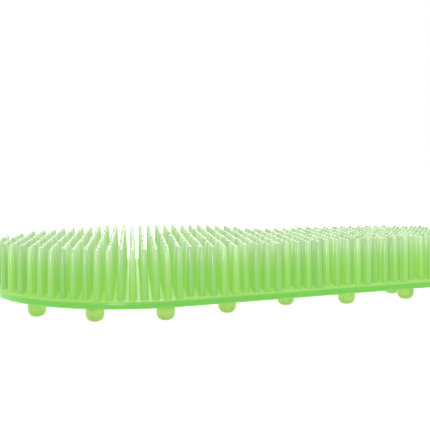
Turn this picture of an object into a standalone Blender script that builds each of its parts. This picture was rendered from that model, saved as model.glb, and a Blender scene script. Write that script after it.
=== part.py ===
# A soft moulded grooming pad: a thin flexible plate, a dense field of tapered bristles on its top,
# and domed pegs under it that stand it on a table or plug it into a holder.
# Each row of bristles is one comb-shaped piece: its bristles rise from a low web on the plate.
# Metres, +Z up. The origin is under the middle of the pad, at the feet of the pegs.

import math

import bpy
from mathutils import Vector

# The plate's outline: a round head, a straight side edge, a small heel, a long curved back edge
# and a waist where that edge runs into the head. All measured from the head's centre.
HEAD_RADIUS = 0.037
HEEL_RADIUS = 0.016
HEEL_ALONG = 0.080
HEEL_ACROSS = -0.0034
BACK_RADIUS = 0.086
BACK_LEAN = math.radians(19)  # how far the back edge's arc leans towards the head
WAIST_RADIUS = 0.007
PLATE_THICKNESS = 0.0016
PLATE_EDGE_ROUND = 0.0004

# Bristles stand in a square grid, a little off the head's centre.
BRISTLE_PITCH = 0.0025
GRID_SHIFT = Vector((0.0007, 0.001))
BRISTLE_LENGTH = 0.0109
BRISTLE_BASE_WIDTH = 0.0016
BRISTLE_TIP_WIDTH = 0.0012
BRISTLE_THICKNESS = 0.0015  # across the row
BRISTLE_MARGIN = 0.0017  # the plate's edge to the nearest bristle's centre
WEB_HEIGHT = 0.0004  # joins the bristles of one row at their roots

# Pegs.
PEG_DIAMETER = 0.0041
PEG_LENGTH = 0.0031
PEG_DOME_HEIGHT = 0.0017
PEG_FOOT_DIAMETER = 0.0018
PEG_SIDES = 12
PEG_DOME_STEPS = 2
PEG_MARGIN = 0.0045  # the plate's edge to the centre of a peg beside it
HEAD_RING_MARGIN = 0.0031  # the same for the pegs round the head
HEAD_RING_STEPS = 14
HEAD_RING_START = math.radians(227.3)
HEAD_RING_SKIPPED = (4, 13)  # one faces the heel, where the side pegs take over; the head's far end has no peg
MIDDLE_PEGS = 3
MIDDLE_RING_RADIUS = 0.014
# Share of the straight side edge, and distance in from it.
SIDE_PEGS = ((0.368, 0.0085), (0.549, PEG_MARGIN), (0.761, PEG_MARGIN), (0.777, 0.0122))
BACK_PEGS = (0.8803, 0.3586)  # share of the back edge's arc, from the heel
HEEL_PEG_TURN = math.radians(5)

GAP = 0.0003  # between pieces that touch

ARC_STEP = math.radians(6)
HEEL_ARC_STEP = math.radians(12)
BACK_ARC_STEP = math.radians(4)
WAIST_ARC_STEP = math.radians(15)

HEAD = Vector((0, 0))
HEEL = Vector((HEEL_ALONG, HEEL_ACROSS))
MIDDLE = Vector(((HEEL_ALONG + HEEL_RADIUS - HEAD_RADIUS) / 2, 0))
PLATE_BOTTOM = PEG_LENGTH
PLATE_TOP = PLATE_BOTTOM + PLATE_THICKNESS


def clear_scene():
    for obj in list(bpy.data.objects):
        bpy.data.objects.remove(obj, do_unlink=True)


def direction(angle):
    return Vector((math.cos(angle), math.sin(angle)))


def angle_of(vector):
    return math.atan2(vector.y, vector.x)


def arc(centre, radius, start, end, step):
    """Points from start to end, turning whichever way end lies."""
    count = max(2, math.ceil(abs(end - start) / step))
    return [centre + radius * direction(start + (end - start) * i / count) for i in range(count + 1)]


def side_edge_angle():
    """The direction in which the straight side edge faces: it touches both the head and the heel."""
    between = HEEL - HEAD
    return angle_of(between) - math.acos((HEAD_RADIUS - HEEL_RADIUS) / between.length)


def back_centre():
    """Centre of the long back edge, whose arc runs smoothly into the heel's."""
    lean = Vector((math.sin(BACK_LEAN), math.cos(BACK_LEAN)))
    return HEEL - (BACK_RADIUS - HEEL_RADIUS) * lean


def waist_centre():
    """Centre of the hollow arc that touches both the head and the back edge from outside."""
    back = back_centre()
    across = (back - HEAD).length
    to_head = HEAD_RADIUS + WAIST_RADIUS
    to_back = BACK_RADIUS + WAIST_RADIUS
    along = (to_head**2 - to_back**2 + across**2) / (2 * across)
    aside = math.sqrt(to_head**2 - along**2)
    forward = (back - HEAD) / across
    return HEAD + along * forward + aside * Vector((-forward.y, forward.x))


def back_edge_angles():
    """Where the back edge's arc ends at the heel and at the waist, seen from its centre."""
    return math.pi / 2 - BACK_LEAN, angle_of(waist_centre() - back_centre())


def outline(inset=0.0):
    """The plate's outline, anticlockwise, or a line that runs inside it at a distance."""
    side = side_edge_angle()
    back, waist = back_centre(), waist_centre()
    heel_end, back_end = back_edge_angles()
    waist_start = angle_of(back - waist)
    waist_end = angle_of(HEAD - waist)
    head_start = angle_of(waist - HEAD)
    points = arc(HEEL, HEEL_RADIUS - inset, side, heel_end, HEEL_ARC_STEP)
    points += arc(back, BACK_RADIUS - inset, heel_end, back_end, BACK_ARC_STEP)[1:]
    points += arc(waist, WAIST_RADIUS + inset, waist_start, waist_end, WAIST_ARC_STEP)[1:]
    points += arc(HEAD, HEAD_RADIUS - inset, head_start, side + 2 * math.pi, ARC_STEP)[1:]
    return points


def holds(loop, point):
    """Whether the closed loop goes round the point."""
    inside = False
    for a, b in zip(loop, loop[1:] + loop[:1]):
        if (a.y > point.y) != (b.y > point.y):
            if point.x < a.x + (b.x - a.x) * (point.y - a.y) / (b.y - a.y):
                inside = not inside
    return inside


def material(name, colour, roughness):
    made = bpy.data.materials.new(name)
    made.use_nodes = True
    shader = made.node_tree.nodes["Principled BSDF"]
    shader.inputs["Base Color"].default_value = (*colour, 1)
    shader.inputs["Roughness"].default_value = roughness
    shader.inputs["Metallic"].default_value = 0
    return made


def add(collection, name, data, finish, place=(0, 0, 0)):
    obj = bpy.data.objects.new(name, data)
    obj.location = place
    data.materials.append(finish)
    collection.objects.link(obj)
    return obj


def at(point, height):
    """A point of the plan, measured from the head's centre, in the pad's own frame."""
    return (point.x - MIDDLE.x, point.y - MIDDLE.y, height)


def base_plate(collection, finish):
    curve = bpy.data.curves.new("base_plate", "CURVE")
    curve.dimensions = "2D"
    curve.fill_mode = "BOTH"
    curve.extrude = PLATE_THICKNESS / 2 - PLATE_EDGE_ROUND
    curve.bevel_depth = PLATE_EDGE_ROUND
    curve.bevel_resolution = 1
    curve.offset = -PLATE_EDGE_ROUND
    points = outline()
    spline = curve.splines.new("POLY")
    spline.points.add(len(points) - 1)
    for place, point in zip(spline.points, points):
        place.co = (point.x, point.y, 0, 1)
    spline.use_cyclic_u = True
    add(collection, "base_plate", curve, finish, at(HEAD, (PLATE_BOTTOM + PLATE_TOP) / 2))


def bristle_rows():
    """The grid's rows, from the side edge to the back: each is a list of places without a break."""
    loop = outline(BRISTLE_MARGIN)
    first = -math.ceil(HEAD_RADIUS / BRISTLE_PITCH)
    last = math.ceil((HEEL_ALONG + HEEL_RADIUS) / BRISTLE_PITCH)
    rows = []
    for row in range(first, -first + 1):
        run = []
        for column in range(first, last + 1):
            place = GRID_SHIFT + BRISTLE_PITCH * Vector((column, row))
            if holds(loop, place):
                run.append(place)
            elif run:
                rows.append(run)
                run = []
    return rows


def bristle_row(collection, finish, name, places):
    """One row of bristles as a flat comb that stands on edge."""
    middle = (places[0] + places[-1]) / 2
    root, tip = BRISTLE_BASE_WIDTH / 2, BRISTLE_TIP_WIDTH / 2
    end = places[-1].x - middle.x + root
    comb = [(-end, GAP), (end, GAP)]
    for place in reversed(places):
        x = place.x - middle.x
        comb += [(x + root, GAP + WEB_HEIGHT), (x + tip, BRISTLE_LENGTH)]
        comb += [(x - tip, BRISTLE_LENGTH), (x - root, GAP + WEB_HEIGHT)]
    curve = bpy.data.curves.new(name, "CURVE")
    curve.dimensions = "2D"
    curve.fill_mode = "BOTH"
    curve.extrude = BRISTLE_THICKNESS / 2
    spline = curve.splines.new("POLY")
    spline.points.add(len(comb) - 1)
    for point, (x, height) in zip(spline.points, comb):
        point.co = (x, height, 0, 1)
    spline.use_cyclic_u = True
    obj = add(collection, name, curve, finish, at(middle, PLATE_TOP))
    obj.rotation_euler = (math.pi / 2, 0, 0)


def peg_mesh(finish):
    """The profile that is turned into a peg: flat top under the plate, straight side, domed end, small foot."""
    radius, foot = PEG_DIAMETER / 2, PEG_FOOT_DIAMETER / 2
    profile = [(0, PEG_LENGTH - GAP), (radius, PEG_LENGTH - GAP)]
    for step in range(PEG_DOME_STEPS + 1):
        turn = math.pi / 2 * step / PEG_DOME_STEPS
        profile.append((foot + (radius - foot) * math.cos(turn), PEG_DOME_HEIGHT * (1 - math.sin(turn))))
    profile.append((0, 0))
    mesh = bpy.data.meshes.new("peg")
    edges = [(i, i + 1) for i in range(len(profile) - 1)]
    mesh.from_pydata([(x, 0, z) for x, z in profile], edges, [])
    mesh.materials.append(finish)
    return mesh


def peg(collection, mesh, name, place):
    obj = bpy.data.objects.new(name, mesh)
    obj.location = at(place, 0)
    screw = obj.modifiers.new("turned", "SCREW")
    screw.steps = PEG_SIDES
    screw.render_steps = PEG_SIDES
    screw.use_merge_vertices = True
    screw.merge_threshold = 0.00001
    screw.use_smooth_shade = True
    collection.objects.link(obj)


def peg_places():
    """Every peg's name and place, from the head's centre."""
    places = {}
    ring = HEAD_RADIUS - HEAD_RING_MARGIN
    turn = 2 * math.pi / HEAD_RING_STEPS
    steps = [step for step in range(HEAD_RING_STEPS) if step not in HEAD_RING_SKIPPED]
    for number, step in enumerate(steps, 1):
        places[f"head_peg_{number:02d}"] = HEAD + ring * direction(HEAD_RING_START + turn * step)
    for number in range(1, MIDDLE_PEGS + 1):
        places[f"middle_peg_{number}"] = MIDDLE_RING_RADIUS * direction(2 * math.pi * number / MIDDLE_PEGS)
    outward = direction(side_edge_angle())
    start, end = HEAD + HEAD_RADIUS * outward, HEEL + HEEL_RADIUS * outward
    for number, (share, margin) in enumerate(SIDE_PEGS, 1):
        places[f"side_peg_{number}"] = start + share * (end - start) - margin * outward
    heel_end, back_end = back_edge_angles()
    for number, share in enumerate(BACK_PEGS, 1):
        across = direction(heel_end + share * (back_end - heel_end))
        places[f"back_peg_{number}"] = back_centre() + (BACK_RADIUS - PEG_MARGIN) * across
    places["heel_peg"] = HEEL + (HEEL_RADIUS - PEG_MARGIN) * direction(HEEL_PEG_TURN)
    return places


def main():
    clear_scene()
    pad = bpy.data.collections.new("slicker_brush")
    bpy.context.scene.collection.children.link(pad)
    base_plate(pad, material("plate_rubber", (0.13, 0.62, 0.05), 0.35))
    bristle_rubber = material("bristle_rubber", (0.42, 0.85, 0.22), 0.3)
    for number, places in enumerate(bristle_rows(), 1):
        bristle_row(pad, bristle_rubber, f"bristle_row_{number:02d}", places)
    turned_peg = peg_mesh(material("peg_rubber", (0.55, 0.78, 0.16), 0.3))
    for name, place in peg_places().items():
        peg(pad, turned_peg, name, place)


main()
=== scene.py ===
import math
import random

import bmesh
import bpy
from mathutils import Matrix, Vector


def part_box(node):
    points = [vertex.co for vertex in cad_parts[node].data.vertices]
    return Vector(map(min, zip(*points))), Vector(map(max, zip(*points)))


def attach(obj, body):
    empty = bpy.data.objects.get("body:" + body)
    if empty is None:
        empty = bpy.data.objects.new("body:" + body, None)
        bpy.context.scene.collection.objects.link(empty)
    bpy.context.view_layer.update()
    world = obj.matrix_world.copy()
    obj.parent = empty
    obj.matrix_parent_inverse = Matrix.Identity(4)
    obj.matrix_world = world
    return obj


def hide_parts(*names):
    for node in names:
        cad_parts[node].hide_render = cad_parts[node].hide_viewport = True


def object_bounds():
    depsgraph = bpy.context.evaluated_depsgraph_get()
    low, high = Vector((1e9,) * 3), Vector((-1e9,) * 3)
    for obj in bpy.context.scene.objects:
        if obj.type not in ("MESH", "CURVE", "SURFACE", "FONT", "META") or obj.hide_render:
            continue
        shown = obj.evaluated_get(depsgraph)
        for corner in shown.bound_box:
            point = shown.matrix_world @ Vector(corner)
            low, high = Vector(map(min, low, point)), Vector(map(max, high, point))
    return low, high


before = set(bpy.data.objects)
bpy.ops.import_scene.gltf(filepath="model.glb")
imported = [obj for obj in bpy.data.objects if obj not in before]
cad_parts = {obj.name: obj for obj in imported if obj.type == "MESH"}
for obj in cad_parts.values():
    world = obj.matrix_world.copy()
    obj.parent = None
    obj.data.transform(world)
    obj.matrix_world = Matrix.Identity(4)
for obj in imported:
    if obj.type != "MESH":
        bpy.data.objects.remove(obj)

cadLow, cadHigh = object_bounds()  # the model's box before any piece is dressed
mm = 0.001
rng = random.Random(7)
creaseAngle = math.radians(50)  # edges sharper than this stay sharp

# lengths that every piece shares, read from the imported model
plateLow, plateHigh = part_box("base_plate")
rowNames = sorted(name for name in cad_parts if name.startswith("bristle_row"))
pegNames = sorted(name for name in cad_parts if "peg" in name)
bristleGrid = {"pitch": 2.5 * mm, "rootWidth": 1.6 * mm}
headRadius = (plateHigh.y - plateLow.y) / 2
headCentre = Vector((plateLow.x + headRadius, (plateLow.y + plateHigh.y) / 2, 0))
firstLow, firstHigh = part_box(rowNames[0])
cellCorner = Vector((firstLow.x + (bristleGrid["rootWidth"] - bristleGrid["pitch"]) / 2,
                     (firstLow.y + firstHigh.y - bristleGrid["pitch"]) / 2, 0))


def linear(r, g, b):
    # screen colour, 0 to 255, to the shader's linear colour
    return [((c / 255 + 0.055) / 1.055) ** 2.4 if c > 10 else c / 255 / 12.92 for c in (r, g, b)]


def addNode(tree, kind, at=(0, 0), **settings):
    node = tree.nodes.new(kind)
    node.location = at
    for key, value in settings.items():
        setattr(node, key, value)
    return node


def newGroup(name, inputs, outputs):
    group = bpy.data.node_groups.new(name, "ShaderNodeTree")
    for label, kind, value in inputs:
        socket = group.interface.new_socket(label, in_out="INPUT", socket_type=kind)
        socket.default_value = value
    for label, kind in outputs:
        group.interface.new_socket(label, in_out="OUTPUT", socket_type=kind)
    start = addNode(group, "NodeGroupInput", (-900, 0))
    end = addNode(group, "NodeGroupOutput", (700, 0))
    return group, start, end


def rubberTintGroup():
    # colour that pales towards the tips (partly a painted highlight on the bristle domes and a painted sheen on the
    # plate's top edge), drifts over the pad, and turns warmer or cooler from bristle to bristle
    group, start, end = newGroup("rubberTint", [
        ("Root Colour", "NodeSocketColor", (0.3, 0.7, 0.1, 1)),
        ("Warm Colour", "NodeSocketColor", (0.4, 0.7, 0.1, 1)),
        ("Tip Colour", "NodeSocketColor", (0.9, 1, 0.8, 1)),
        ("Root Height", "NodeSocketFloat", 0.0),
        ("Tip Height", "NodeSocketFloat", 0.01),
        ("Fade Power", "NodeSocketFloat", 1.5),
        ("Cell Corner", "NodeSocketVector", (0, 0, 0)),
        ("Cell Size", "NodeSocketFloat", 0.0025),
        ("Cell Contrast", "NodeSocketFloat", 0.1),
        ("Tip Contrast", "NodeSocketFloat", 0.0),
        ("Drift", "NodeSocketFloat", 0.1),
    ], [("Colour", "NodeSocketColor")])
    link = group.links.new
    place = addNode(group, "ShaderNodeTexCoord", (-1300, 300))
    split = addNode(group, "ShaderNodeSeparateXYZ", (-1100, 300))
    link(place.outputs["Object"], split.inputs[0])
    rise = addNode(group, "ShaderNodeMapRange", (-900, 300), clamp=True)
    link(split.outputs["Z"], rise.inputs["Value"])
    link(start.outputs["Root Height"], rise.inputs["From Min"])
    link(start.outputs["Tip Height"], rise.inputs["From Max"])
    fade = addNode(group, "ShaderNodeMath", (-700, 300), operation="POWER")
    link(rise.outputs[0], fade.inputs[0])
    link(start.outputs["Fade Power"], fade.inputs[1])
    # one random value for each cell of the bristle grid
    moved = addNode(group, "ShaderNodeVectorMath", (-1100, 0), operation="SUBTRACT")
    link(place.outputs["Object"], moved.inputs[0])
    link(start.outputs["Cell Corner"], moved.inputs[1])
    flat = addNode(group, "ShaderNodeVectorMath", (-900, 0), operation="MULTIPLY")
    flat.inputs[1].default_value = (1, 1, 0)
    link(moved.outputs[0], flat.inputs[0])
    size = addNode(group, "ShaderNodeCombineXYZ", (-900, -160))
    for axis in "XYZ":
        link(start.outputs["Cell Size"], size.inputs[axis])
    snap = addNode(group, "ShaderNodeVectorMath", (-700, 0), operation="SNAP")
    link(flat.outputs[0], snap.inputs[0])
    link(size.outputs[0], snap.inputs[1])
    cell = addNode(group, "ShaderNodeTexWhiteNoise", (-500, 0), noise_dimensions="3D")
    link(snap.outputs[0], cell.inputs["Vector"])
    cloud = addNode(group, "ShaderNodeTexNoise", (-700, -300))
    cloud.inputs["Scale"].default_value = 60
    cloud.inputs["Detail"].default_value = 3
    link(place.outputs["Object"], cloud.inputs["Vector"])
    body = addNode(group, "ShaderNodeMix", (-300, 160), data_type="RGBA")
    link(cell.outputs["Value"], body.inputs["Factor"])
    link(start.outputs["Root Colour"], body.inputs[6])
    link(start.outputs["Warm Colour"], body.inputs[7])
    blend = addNode(group, "ShaderNodeMix", (-100, 160), data_type="RGBA")
    link(fade.outputs[0], blend.inputs["Factor"])
    link(body.outputs[2], blend.inputs[6])
    link(start.outputs["Tip Colour"], blend.inputs[7])
    # Tip Contrast: cap brightness varies bristle by bristle, more so towards the tip, painting glints on the brighter
    # dome tips
    contrast = addNode(group, "ShaderNodeMath", (-500, -200), operation="MULTIPLY_ADD")
    link(fade.outputs[0], contrast.inputs[0])
    link(start.outputs["Tip Contrast"], contrast.inputs[1])
    link(start.outputs["Cell Contrast"], contrast.inputs[2])
    # brightness 1 + contrast * (cell - 0.5) + drift * (cloud - 0.5)
    shade = None
    for source, amount in ((cell.outputs["Value"], contrast.outputs[0]),
                           (cloud.outputs["Fac"], start.outputs["Drift"])):
        middle = addNode(group, "ShaderNodeMath", (-300, -300), operation="SUBTRACT")
        middle.inputs[1].default_value = 0.5
        link(source, middle.inputs[0])
        sumNode = addNode(group, "ShaderNodeMath", (-100, -300), operation="MULTIPLY_ADD")
        link(middle.outputs[0], sumNode.inputs[0])
        link(amount, sumNode.inputs[1])
        sumNode.inputs[2].default_value = 1
        if shade:
            link(shade, sumNode.inputs[2])
        shade = sumNode.outputs[0]
    toned = addNode(group, "ShaderNodeVectorMath", (200, 100), operation="SCALE")
    link(blend.outputs[2], toned.inputs[0])
    link(shade, toned.inputs["Scale"])
    link(toned.outputs[0], end.inputs["Colour"])
    return group


def dustGroup():
    # a few dark specks of dust stuck to the rubber
    group, start, end = newGroup("dustSpecks", [
        ("Scale", "NodeSocketFloat", 120.0),
        ("Speck Size", "NodeSocketFloat", 0.05),
        ("Share", "NodeSocketFloat", 0.05),
    ], [("Specks", "NodeSocketFloat")])
    link = group.links.new
    place = addNode(group, "ShaderNodeTexCoord", (-700, 0))
    spots = addNode(group, "ShaderNodeTexVoronoi", (-500, 0))
    link(place.outputs["Object"], spots.inputs["Vector"])
    link(start.outputs["Scale"], spots.inputs["Scale"])
    near = addNode(group, "ShaderNodeMath", (-250, 100), operation="LESS_THAN")
    link(spots.outputs["Distance"], near.inputs[0])
    link(start.outputs["Speck Size"], near.inputs[1])
    pick = addNode(group, "ShaderNodeSeparateColor", (-250, -100))
    link(spots.outputs["Color"], pick.inputs[0])
    rare = addNode(group, "ShaderNodeMath", (-50, -100), operation="LESS_THAN")
    link(pick.outputs[0], rare.inputs[0])
    link(start.outputs["Share"], rare.inputs[1])
    both = addNode(group, "ShaderNodeMath", (150, 0), operation="MULTIPLY")
    link(near.outputs[0], both.inputs[0])
    link(rare.outputs[0], both.inputs[1])
    link(both.outputs[0], end.inputs["Specks"])
    return group


def mouldSkinGroup():
    # the faint orange peel and flow lines of moulded rubber, and the patches where it is duller
    group, start, end = newGroup("mouldSkin", [
        ("Peel Scale", "NodeSocketFloat", 900.0),
        ("Flow Scale", "NodeSocketFloat", 120.0),
        ("Base Roughness", "NodeSocketFloat", 0.2),
        ("Roughness Spread", "NodeSocketFloat", 0.15),
    ], [("Roughness", "NodeSocketFloat"), ("Height", "NodeSocketFloat")])
    link = group.links.new
    place = addNode(group, "ShaderNodeTexCoord", (-900, 300))
    peel = addNode(group, "ShaderNodeTexNoise", (-600, 300))
    peel.inputs["Detail"].default_value = 4
    link(place.outputs["Object"], peel.inputs["Vector"])
    link(start.outputs["Peel Scale"], peel.inputs["Scale"])
    flow = addNode(group, "ShaderNodeTexNoise", (-600, 0))
    flow.inputs["Detail"].default_value = 2
    flow.inputs["Distortion"].default_value = 1.5
    link(place.outputs["Object"], flow.inputs["Vector"])
    link(start.outputs["Flow Scale"], flow.inputs["Scale"])
    height = addNode(group, "ShaderNodeMath", (-300, 200), operation="MULTIPLY_ADD")
    link(flow.outputs["Fac"], height.inputs[0])
    height.inputs[1].default_value = 1.6
    link(peel.outputs["Fac"], height.inputs[2])
    dull = addNode(group, "ShaderNodeMath", (-300, 0), operation="MULTIPLY_ADD")
    link(flow.outputs["Fac"], dull.inputs[0])
    link(start.outputs["Roughness Spread"], dull.inputs[1])
    link(start.outputs["Base Roughness"], dull.inputs[2])
    link(dull.outputs[0], end.inputs["Roughness"])
    link(height.outputs[0], end.inputs["Height"])
    return group


groups = {"tint": rubberTintGroup(), "skin": mouldSkinGroup(), "dust": dustGroup()}
print("shader groups built")


skinFinish = {"dustColour": (48, 70, 40), "bumpDepth": 0.05 * mm}


def rubberMaterial(name, look):
    material = bpy.data.materials.new(name)
    material.use_nodes = True
    tree = material.node_tree
    link = tree.links.new
    shader = tree.nodes["Principled BSDF"]
    tint = addNode(tree, "ShaderNodeGroup", (-500, 200))
    tint.node_tree = groups["tint"]
    tint.inputs["Root Colour"].default_value = (*linear(*look["rootColour"]), 1)
    tint.inputs["Warm Colour"].default_value = (*linear(*look["warmColour"]), 1)
    tint.inputs["Cell Corner"].default_value = cellCorner
    tint.inputs["Tip Colour"].default_value = (*linear(*look["tipColour"]), 1)
    tint.inputs["Root Height"].default_value = look["rootHeight"]
    tint.inputs["Tip Height"].default_value = look["tipHeight"]
    tint.inputs["Fade Power"].default_value = look["fadePower"]
    tint.inputs["Cell Size"].default_value = bristleGrid["pitch"]
    tint.inputs["Cell Contrast"].default_value = look["cellContrast"]
    tint.inputs["Tip Contrast"].default_value = look["tipContrast"]
    tint.inputs["Drift"].default_value = look["drift"]
    skin = addNode(tree, "ShaderNodeGroup", (-500, -200))
    skin.node_tree = groups["skin"]
    skin.inputs["Base Roughness"].default_value = look["roughness"]
    skin.inputs["Roughness Spread"].default_value = look["roughnessSpread"]
    bump = addNode(tree, "ShaderNodeBump", (-250, -300))
    bump.inputs["Strength"].default_value = look["bump"]
    bump.inputs["Distance"].default_value = skinFinish["bumpDepth"]
    dust = addNode(tree, "ShaderNodeGroup", (-500, 450))
    dust.node_tree = groups["dust"]
    dust.inputs["Scale"].default_value = look["dustScale"]
    dust.inputs["Speck Size"].default_value = look["dustSize"]
    dust.inputs["Share"].default_value = look["dustShare"]
    dirty = addNode(tree, "ShaderNodeMix", (-250, 250), data_type="RGBA")
    dirty.inputs[7].default_value = (*linear(*skinFinish["dustColour"]), 1)
    link(dust.outputs["Specks"], dirty.inputs["Factor"])
    link(tint.outputs["Colour"], dirty.inputs[6])
    # painted light: every rubber glows with its own colour (Emission Strength from glow), standing in for light
    # passing through the translucent rubber and lifting the shade between bristles; only the bodyShare part of the
    # colour is lit by the lamps
    body = addNode(tree, "ShaderNodeVectorMath", (-80, 250), operation="SCALE")
    body.inputs["Scale"].default_value = look["bodyShare"]
    link(dirty.outputs[2], body.inputs[0])
    link(body.outputs[0], shader.inputs["Base Color"])
    link(dirty.outputs[2], shader.inputs["Emission Color"])
    shader.inputs["Emission Strength"].default_value = look["glow"]
    link(skin.outputs["Roughness"], shader.inputs["Roughness"])
    link(skin.outputs["Height"], bump.inputs["Height"])
    link(bump.outputs["Normal"], shader.inputs["Normal"])
    shader.inputs["IOR"].default_value = look["ior"]
    shader.inputs["Transmission Weight"].default_value = look["transmission"]
    shader.inputs["Subsurface Weight"].default_value = look["subsurface"]
    shader.inputs["Subsurface Radius"].default_value = look["radius"]
    shader.inputs["Subsurface Scale"].default_value = look["scatter"]
    shader.inputs["Coat Weight"].default_value = look["coat"]
    shader.inputs["Coat Roughness"].default_value = look["coatRoughness"]
    return material


bristleLook = {
    # the bristles pale towards near-white tips, partly the rubber's own colour and partly a painted highlight on the
    # domes; tipContrast makes some caps brighter than others, painted glints on the dome tips
    "rootColour": (142, 211, 97), "warmColour": (154, 216, 90), "tipColour": (200, 229, 181),
    "rootHeight": plateHigh.z, "tipHeight": cadHigh.z, "fadePower": 3.0,
    "cellContrast": 0.05, "tipContrast": 0.30, "drift": 0.08,
    "roughness": 0.16, "roughnessSpread": 0.12, "bump": 0.15, "ior": 1.4, "transmission": 0.3,
    "subsurface": 0.0, "radius": (0.6, 1.0, 0.4), "scatter": 3 * mm, "coat": 0.5, "coatRoughness": 0.15,
    # glow is painted light: the bristle rubber shines by itself in its own colour
    "glow": 0.70, "bodyShare": 0.18, "dustScale": 160, "dustSize": 0.06, "dustShare": 0.02,
}
plateLook = {
    # the plate pales towards its top face and rounded top edge: a painted sheen where the top catches the light
    "rootColour": (118, 209, 70), "warmColour": (118, 209, 70), "tipColour": (176, 230, 122),
    "rootHeight": plateLow.z, "tipHeight": plateHigh.z, "fadePower": 9.0,
    "cellContrast": 0.0, "tipContrast": 0.0, "drift": 0.14,
    "roughness": 0.16, "roughnessSpread": 0.16, "bump": 0.25, "ior": 1.4, "transmission": 0.0,
    "subsurface": 1.0, "radius": (0.5, 1.0, 0.3), "scatter": 2.0 * mm, "coat": 0.3, "coatRoughness": 0.15,
    # glow is painted light: the plate rubber shines by itself in its own colour
    "glow": 0.565, "bodyShare": 0.30, "dustScale": 140, "dustSize": 0.05, "dustShare": 0.05,
}
pegLook = {
    "rootColour": (186, 222, 120), "warmColour": (178, 218, 106), "tipColour": (166, 212, 94),
    "rootHeight": 0.0, "tipHeight": plateLow.z, "fadePower": 1.2,
    "cellContrast": 0.0, "tipContrast": 0.0, "drift": 0.12,
    "roughness": 0.05, "roughnessSpread": 0.08, "bump": 0.2, "ior": 1.4, "transmission": 0.75,
    "subsurface": 0.0, "radius": (0.8, 1.0, 0.4), "scatter": 3 * mm, "coat": 0.3, "coatRoughness": 0.12,
    # glow is painted light: the peg rubber shines by itself in its own colour
    "glow": 0.28, "bodyShare": 0.52, "dustScale": 140, "dustSize": 0.05, "dustShare": 0.03,
}
materials = {
    "bristle": rubberMaterial("clearBristleRubber", bristleLook),
    "plate": rubberMaterial("greenPlateRubber", plateLook),
    "peg": rubberMaterial("yellowPegRubber", pegLook),
}
print("materials built")


def addPiece(name, mesh, material, slot, *nodes):
    piece = bpy.data.objects.new(name, mesh)
    bpy.context.scene.collection.objects.link(piece)
    mesh.materials.append(material)
    mesh.shade_smooth()
    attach(piece, "root")
    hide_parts(*nodes)


bristleShape = {
    "sides": 12, "rootRadius": 0.80 * mm, "tipRadius": 0.50 * mm, "filletRadius": 0.25 * mm, "sink": 0.25 * mm,
    "domeSteps": 4, "domeShare": 0.8, "sideSteps": 4, "taperPower": 2.2,  # dome height as a share of the tip's radius
    "lean": 0.18 * mm, "lengthSpread": 0.22 * mm,
}


def bristleProfile(length):
    # radius and height from the sunk root to the tip
    s = bristleShape
    profile = [(s["rootRadius"] + s["filletRadius"], -s["sink"]), (s["rootRadius"] + s["filletRadius"], 0.0)]
    profile.append((s["rootRadius"] + 0.3 * s["filletRadius"], 0.35 * s["filletRadius"]))
    profile.append((s["rootRadius"], s["filletRadius"]))
    profile.append((s["rootRadius"], 1.4 * s["filletRadius"]))
    domeStart = length - s["tipRadius"] * s["domeShare"]
    for step in range(1, s["sideSteps"] + 1):
        share = step / s["sideSteps"]
        radius = s["rootRadius"] + (s["tipRadius"] - s["rootRadius"]) * share ** s["taperPower"]
        profile.append((radius, s["filletRadius"] + (domeStart - s["filletRadius"]) * share))
    for step in range(1, s["domeSteps"] + 1):
        turn = math.pi / 2 * step / s["domeSteps"]
        profile.append((s["tipRadius"] * math.cos(turn), domeStart + (length - domeStart) * math.sin(turn)))
    return profile


def addTurned(shape, profile, centre, sides, lean=(0, 0)):
    # a turned solid in the bmesh: rings from the profile, closed with a face below and a point above
    rings = []
    top = profile[-1][1]
    for radius, height in profile[:-1]:
        bend = (max(0, height) / top) ** 2
        ring = []
        for side in range(sides):
            turn = 2 * math.pi * side / sides
            x = centre.x + radius * math.cos(turn) + lean[0] * bend
            y = centre.y + radius * math.sin(turn) + lean[1] * bend
            ring.append(shape.verts.new((x, y, centre.z + height)))
        rings.append(ring)
    tip = shape.verts.new((centre.x + lean[0], centre.y + lean[1], centre.z + top))
    for lower, upper in zip(rings, rings[1:]):
        for side in range(sides):
            after = (side + 1) % sides
            shape.faces.new((lower[side], lower[after], upper[after], upper[side]))
    for side in range(sides):
        shape.faces.new((rings[-1][side], rings[-1][(side + 1) % sides], tip))
    shape.faces.new(reversed(rings[0]))


def bristleRows():
    # each CAD comb becomes its round bristles
    count = 0
    pitch = bristleGrid["pitch"]
    for rowName in rowNames:
        low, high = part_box(rowName)
        bristles = round((high.x - low.x - bristleGrid["rootWidth"]) / pitch) + 1
        middle = (low + high) / 2
        shape = bmesh.new()
        for number in range(bristles):
            x = middle.x + (number - (bristles - 1) / 2) * pitch
            length = high.z - plateHigh.z - rng.uniform(0, bristleShape["lengthSpread"])
            turn = rng.uniform(0, 2 * math.pi)
            reach = rng.uniform(0, bristleShape["lean"])
            lean = (reach * math.cos(turn), reach * math.sin(turn))
            centre = Vector((x, middle.y, plateHigh.z))
            addTurned(shape, bristleProfile(length), centre, bristleShape["sides"], lean)
        mesh = bpy.data.meshes.new(rowName + "_round")
        shape.to_mesh(mesh)
        shape.free()
        addPiece(rowName + "_round", mesh, materials["bristle"], "bristle_rubber", rowName)
        count += bristles
    print("bristles", count)


bristleRows()


plateShape = {"edgeRound": 0.35 * mm, "roundSteps": 4, "outlineStep": 3.9 * mm, "smoothStep": 0.9 * mm}


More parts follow.
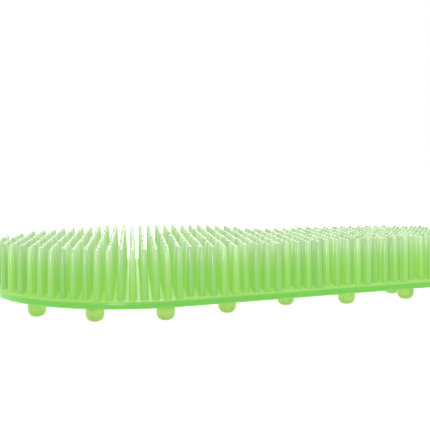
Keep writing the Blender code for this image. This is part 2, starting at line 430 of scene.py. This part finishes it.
def plateOutline():
    # the CAD plate's own widest outline, in order
    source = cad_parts["base_plate"].data
    middle = (plateLow.z + plateHigh.z) / 2
    shape = bmesh.new()
    shape.from_mesh(source)
    bmesh.ops.remove_doubles(shape, verts=shape.verts, dist=0.001 * mm)
    cut = bmesh.ops.bisect_plane(shape, geom=shape.verts[:] + shape.edges[:] + shape.faces[:],
                                 plane_co=(0, 0, middle), plane_no=(0, 0, 1))["geom_cut"]
    edges = [piece for piece in cut if isinstance(piece, bmesh.types.BMEdge)]
    loop = [edges[0].verts[0], edges[0].verts[1]]
    used = {edges[0]}
    while loop[-1] is not loop[0]:
        onward = [e for e in loop[-1].link_edges if e in edges and e not in used][0]
        used.add(onward)
        loop.append(onward.other_vert(loop[-1]))
    points = []
    for a, b in zip(loop, loop[1:]):
        pieces = max(1, round((b.co - a.co).length / plateShape["outlineStep"]))
        points += [a.co.lerp(b.co, i / pieces).xy for i in range(pieces)]
    shape.free()
    return points


def smoothLoop(points, spacing):
    # even points on a smooth closed curve through the given ones
    dense = []
    total = len(points)
    for i in range(total):
        p0, p1, p2, p3 = (points[(i + k) % total] for k in (-1, 0, 1, 2))
        steps = max(1, round((p2 - p1).length / spacing))
        for step in range(steps):
            t = step / steps
            dense.append(0.5 * (2 * p1 + (p2 - p0) * t + (2 * p0 - 5 * p1 + 4 * p2 - p3) * t * t
                                + (3 * p1 - 3 * p2 + p3 - p0) * t ** 3))
    return dense


def signedArea(points):
    return sum(a.x * b.y - b.x * a.y for a, b in zip(points, points[1:] + points[:1])) / 2


def insetLoop(points, distance):
    total = len(points)
    moved = []
    for i in range(total):
        along = (points[(i + 1) % total] - points[i - 1]).normalized()
        moved.append(points[i] + distance * Vector((-along.y, along.x)))
    return moved


def padPlate():
    outline = plateOutline()
    if signedArea(outline) < 0:
        outline.reverse()
    outline = smoothLoop(outline, plateShape["smoothStep"])
    r, steps = plateShape["edgeRound"], plateShape["roundSteps"]
    section = []  # inset and height, from the underside round the edge to the top
    for step in range(steps + 1):
        turn = math.pi / 2 * step / steps
        section.append((r * (1 - math.sin(turn)), plateLow.z + r * (1 - math.cos(turn))))
    for step in range(steps + 1):
        turn = math.pi / 2 * step / steps
        section.append((r * (1 - math.cos(turn)), plateHigh.z - r * (1 - math.sin(turn))))
    shape = bmesh.new()
    rings = []
    for inset, height in section:
        ring = [shape.verts.new((p.x, p.y, height)) for p in insetLoop(outline, inset)]
        rings.append(ring)
    total = len(outline)
    for lower, upper in zip(rings, rings[1:]):
        for i in range(total):
            after = (i + 1) % total
            shape.faces.new((lower[i], lower[after], upper[after], upper[i]))
    shape.faces.new(reversed(rings[0]))
    shape.faces.new(rings[-1])
    mesh = bpy.data.meshes.new("pad_plate")
    shape.to_mesh(mesh)
    shape.free()
    addPiece("pad_plate", mesh, materials["plate"], "plate_rubber", "base_plate")
    mesh.set_sharp_from_angle(angle=creaseAngle)


padPlate()
print("plate built")


pegShape = {
    "sides": 28, "footRadius": 0.7 * mm, "domeSteps": 7, "domeShare": 0.85,  # dome height as a share of the radius
    "flare": 0.25 * mm, "sink": 0.2 * mm,
}


def pegs():
    for pegName in pegNames:
        low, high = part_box(pegName)
        centre = Vector(((low.x + high.x) / 2, (low.y + high.y) / 2, 0))
        radius = (high.x - low.x) / 2
        foot, domeHeight = pegShape["footRadius"], radius * pegShape["domeShare"]
        profile = []
        for step in range(pegShape["domeSteps"] + 1):
            turn = math.pi / 2 * step / pegShape["domeSteps"]
            profile.append((foot + (radius - foot) * math.sin(turn), domeHeight * (1 - math.cos(turn))))
        profile.append((radius, plateLow.z - 2 * pegShape["flare"]))
        profile.append((radius + 0.3 * pegShape["flare"], plateLow.z - 0.8 * pegShape["flare"]))
        profile.append((radius + pegShape["flare"], plateLow.z))
        profile.append((radius + pegShape["flare"], plateLow.z + pegShape["sink"]))
        profile.append((0, plateLow.z + pegShape["sink"]))
        shape = bmesh.new()
        addTurned(shape, profile, centre, pegShape["sides"])
        mesh = bpy.data.meshes.new(pegName + "_domed")
        shape.to_mesh(mesh)
        shape.free()
        addPiece(pegName + "_domed", mesh, materials["peg"], "peg_rubber", pegName)
        mesh.set_sharp_from_angle(angle=creaseAngle)


pegs()
print("pegs built")


floorLook = {"size": 3.0, "colour": (140, 140, 139), "roughness": 0.6, "glow": 0.96, "skyStrength": 1.0}


def studio():
    mesh = bpy.data.meshes.new("floor")
    half = floorLook["size"] / 2
    mesh.from_pydata([(-half, -half, 0), (half, -half, 0), (half, half, 0), (-half, half, 0)], [], [(0, 1, 2, 3)])
    floor = bpy.data.objects.new("floor", mesh)
    bpy.context.scene.collection.objects.link(floor)
    material = bpy.data.materials.new("paleFloor")
    material.use_nodes = True
    shader = material.node_tree.nodes["Principled BSDF"]
    shader.inputs["Base Color"].default_value = (*linear(*floorLook["colour"]), 1)
    shader.inputs["Roughness"].default_value = floorLook["roughness"]
    shader.inputs["Emission Color"].default_value = (1, 1, 1, 1)
    shader.inputs["Emission Strength"].default_value = floorLook["glow"]
    mesh.materials.append(material)
    world = bpy.data.worlds.new("studio")
    bpy.context.scene.world = world
    world.use_nodes = True
    sky = world.node_tree.nodes["Background"]
    sky.inputs["Color"].default_value = (1, 1, 1, 1)
    sky.inputs["Strength"].default_value = floorLook["skyStrength"]
    bpy.context.scene.view_settings.view_transform = "Standard"


lamps = {
    "backLight": {"at": (0.1, 0.45, 0.40), "toward": (0, 0, 0), "size": 0.25, "power": 3.0},
    "keyLight": {"at": (-0.28, -0.80, 0.07), "toward": (0, 0, 0.01), "size": 0.12, "power": 1.3},
}


def softLight(name, setup):
    lamp = bpy.data.lights.new(name, "AREA")
    lamp.size = setup["size"]
    lamp.energy = setup["power"]
    obj = bpy.data.objects.new(name, lamp)
    bpy.context.scene.collection.objects.link(obj)
    obj.location = setup["at"]
    obj.rotation_mode = "QUATERNION"
    obj.rotation_quaternion = (Vector(setup["toward"]) - Vector(setup["at"])).to_track_quat("-Z", "Y")


studio()
for lampName, lampSetup in lamps.items():
    softLight(lampName, lampSetup)


cameraSetup = {
    "lens": 58.53, "sensor": 36.0, "fromHead": 182.15 * mm, "aboveFloor": 31.84 * mm,
    "sideStep": -1.41 * mm, "turn": 6.67, "drop": 3.634, "tilt": -0.635,
}


def addCamera():
    c = cameraSetup
    data = bpy.data.cameras.new("camera")
    data.sensor_width = c["sensor"]
    data.lens = c["lens"]
    data.clip_start = 0.01
    camera = bpy.data.objects.new("camera", data)
    bpy.context.scene.collection.objects.link(camera)
    camera.location = (headCentre.x + c["sideStep"], headCentre.y - c["fromHead"], c["aboveFloor"])
    turn, drop = math.radians(c["turn"]), math.radians(c["drop"])
    forward = Vector((math.sin(turn) * math.cos(drop), math.cos(turn) * math.cos(drop), -math.sin(drop)))
    camera.rotation_mode = "QUATERNION"
    roll = Matrix.Rotation(math.radians(c["tilt"]), 3, "Z").to_quaternion()
    camera.rotation_quaternion = forward.to_track_quat("-Z", "Y") @ roll
    bpy.context.scene.camera = camera


addCamera()
print("studio and camera set")
